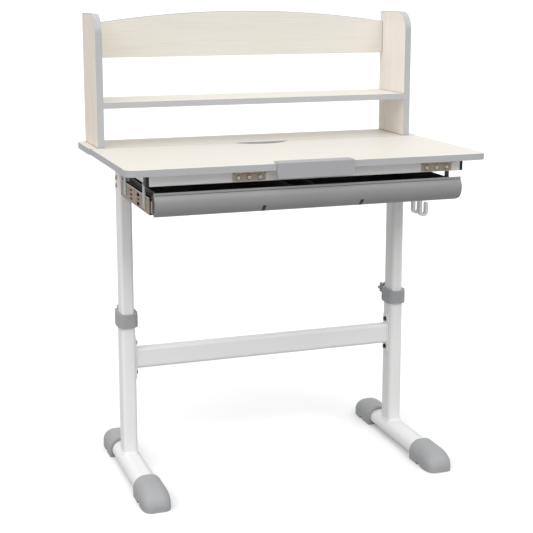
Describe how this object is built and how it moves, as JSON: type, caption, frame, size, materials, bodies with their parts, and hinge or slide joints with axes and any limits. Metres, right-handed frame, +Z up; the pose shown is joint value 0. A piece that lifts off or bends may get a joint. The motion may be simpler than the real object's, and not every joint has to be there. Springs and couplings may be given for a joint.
{
  "type": "study desk",
  "caption": "Height-adjustable study desk on two telescopic legs, with a tilting top, a fixed rear board carrying an open hutch, a shallow drawer and bag hooks.",
  "frame": {"origin": "on the floor, in the middle of the footprint of the whole desk", "axes": "+X to the right as one sits at the desk, +Y to the back, +Z up"},
  "size_m": [0.806, 0.5044, 1.0415],
  "materials": {
    "white_steel": "satin powder coat",
    "grey_plastic": "fine moulded grain",
    "knob_plastic": "fine moulded grain",
    "stop_plastic": "satin",
    "drawer_grey": "satin",
    "black_plastic": "satin",
    "zinc_sheet": "zinc plated",
    "tan_zinc": "zinc plated, tan passivation",
    "fastener_steel": "zinc plated",
    "dark_bolt": "dark oxide",
    "maple_board": "white maple laminate on board",
    "edge_band": "satin edge strip",
    "beech": "bare turned wood"
  },
  "bodies": {
    "base": {"foot_bar_left": "white_steel", "foot_bar_right": "white_steel", "foot_cap_front_left": "grey_plastic", "foot_cap_front_right": "grey_plastic", "foot_cap_rear_left": "grey_plastic", "foot_cap_rear_right": "grey_plastic", "lower_column_left": "white_steel", "lower_column_right": "white_steel", "column_collar_left": "grey_plastic", "column_collar_right": "grey_plastic", "crossbar": "white_steel", "crossbar_bolts": "dark_bolt"},
    "knob_left": {"clamp_knob_left": "knob_plastic", "clamp_stud_left": "fastener_steel"},
    "knob_right": {"clamp_knob_right": "knob_plastic", "clamp_stud_right": "fastener_steel"},
    "upper_frame": {"inner_column_left": "white_steel", "inner_column_right": "white_steel", "column_sleeves": "black_plastic", "arm_sockets": "white_steel", "socket_bolts": "fastener_steel", "side_arm_left": "white_steel", "side_arm_right": "white_steel", "front_rail": "white_steel", "rail_plugs": "black_plastic", "rear_rail": "white_steel", "board_screws": "fastener_steel", "hutch_screws": "fastener_steel", "hutch_dowels": "beech", "rear_board": "maple_board", "rear_board_band": "edge_band", "hutch_side_left": "maple_board", "hutch_side_right": "maple_board", "hutch_side_bands": "edge_band", "hutch_shelf": "maple_board", "hutch_shelf_band": "edge_band", "hutch_back": "maple_board", "hutch_back_band": "edge_band", "hinge_leaves_lower": "tan_zinc", "hinge_screws": "fastener_steel", "slide_outer_left": "tan_zinc", "slide_outer_right": "tan_zinc", "slide_straps": "zinc_sheet", "strap_rivets": "zinc_sheet", "bag_hook": "white_steel", "hook_screws": "fastener_steel"},
    "drawer": {"drawer_front": "drawer_grey", "drawer_tray": "black_plastic", "slide_inner_left": "zinc_sheet", "slide_inner_right": "zinc_sheet"},
    "slide_mid_left": {"slide_middle_left": "tan_zinc"},
    "slide_mid_right": {"slide_middle_right": "tan_zinc"},
    "tilt_top": {"tilt_panel": "maple_board", "tilt_panel_band": "edge_band", "hinge_leaves_upper": "tan_zinc", "panel_screws": "fastener_steel", "stay_brackets": "zinc_sheet"},
    "stop": {"book_stop": "stop_plastic"},
    "stay_left": {"tilt_stay_left": "zinc_sheet"},
    "stay_right": {"tilt_stay_right": "zinc_sheet"}
  },
  "joints": [
    {"name": "height_adjust", "type": "slide", "parent": "base", "child": "upper_frame", "axis": [0, 0, 1], "range_m": [-0.2, 0.02]},
    {"name": "drawer_slide", "type": "slide", "parent": "upper_frame", "child": "drawer", "axis": [0, -1, 0], "range_m": [0, 0.23]},
    {"name": "top_tilt", "type": "hinge", "parent": "upper_frame", "child": "tilt_top", "pos_m": [0, -0.22395, 0.725], "axis": [1, 0, 0], "range_deg": [0, 40]},
    {"name": "stop_lift", "type": "slide", "parent": "tilt_top", "child": "stop", "axis": [0, 0, 1], "range_m": [0, 0.018]},
    {"name": "knob_left_turn", "type": "hinge", "parent": "base", "child": "knob_left", "pos_m": [-0.334, 0.13, 0.3605], "axis": [0, 1, 0], "range_deg": [0, 360]},
    {"name": "slide_mid_left_run", "type": "slide", "parent": "upper_frame", "child": "slide_mid_left", "axis": [0, -1, 0], "range_m": [0, 0.115]},
    {"name": "stay_left_swing", "type": "hinge", "parent": "tilt_top", "child": "stay_left", "pos_m": [-0.3195, -0.06395, 0.725], "axis": [1, 0, 0], "range_deg": [-80, 0]},
    {"name": "knob_right_turn", "type": "hinge", "parent": "base", "child": "knob_right", "pos_m": [0.334, 0.13, 0.3605], "axis": [0, 1, 0], "range_deg": [0, 360]},
    {"name": "slide_mid_right_run", "type": "slide", "parent": "upper_frame", "child": "slide_mid_right", "axis": [0, -1, 0], "range_m": [0, 0.115]},
    {"name": "stay_right_swing", "type": "hinge", "parent": "tilt_top", "child": "stay_right", "pos_m": [0.3195, -0.06395, 0.725], "axis": [1, 0, 0], "range_deg": [-80, 0]}
  ],
  "couplings": [
    {"joint": "slide_mid_left_run", "follows": "drawer_slide", "ratio": 0.5},
    {"joint": "slide_mid_right_run", "follows": "drawer_slide", "ratio": 0.5},
    {"joint": "stay_left_swing", "follows": "top_tilt", "ratio": -2},
    {"joint": "stay_right_swing", "follows": "top_tilt", "ratio": -2}
  ]
}
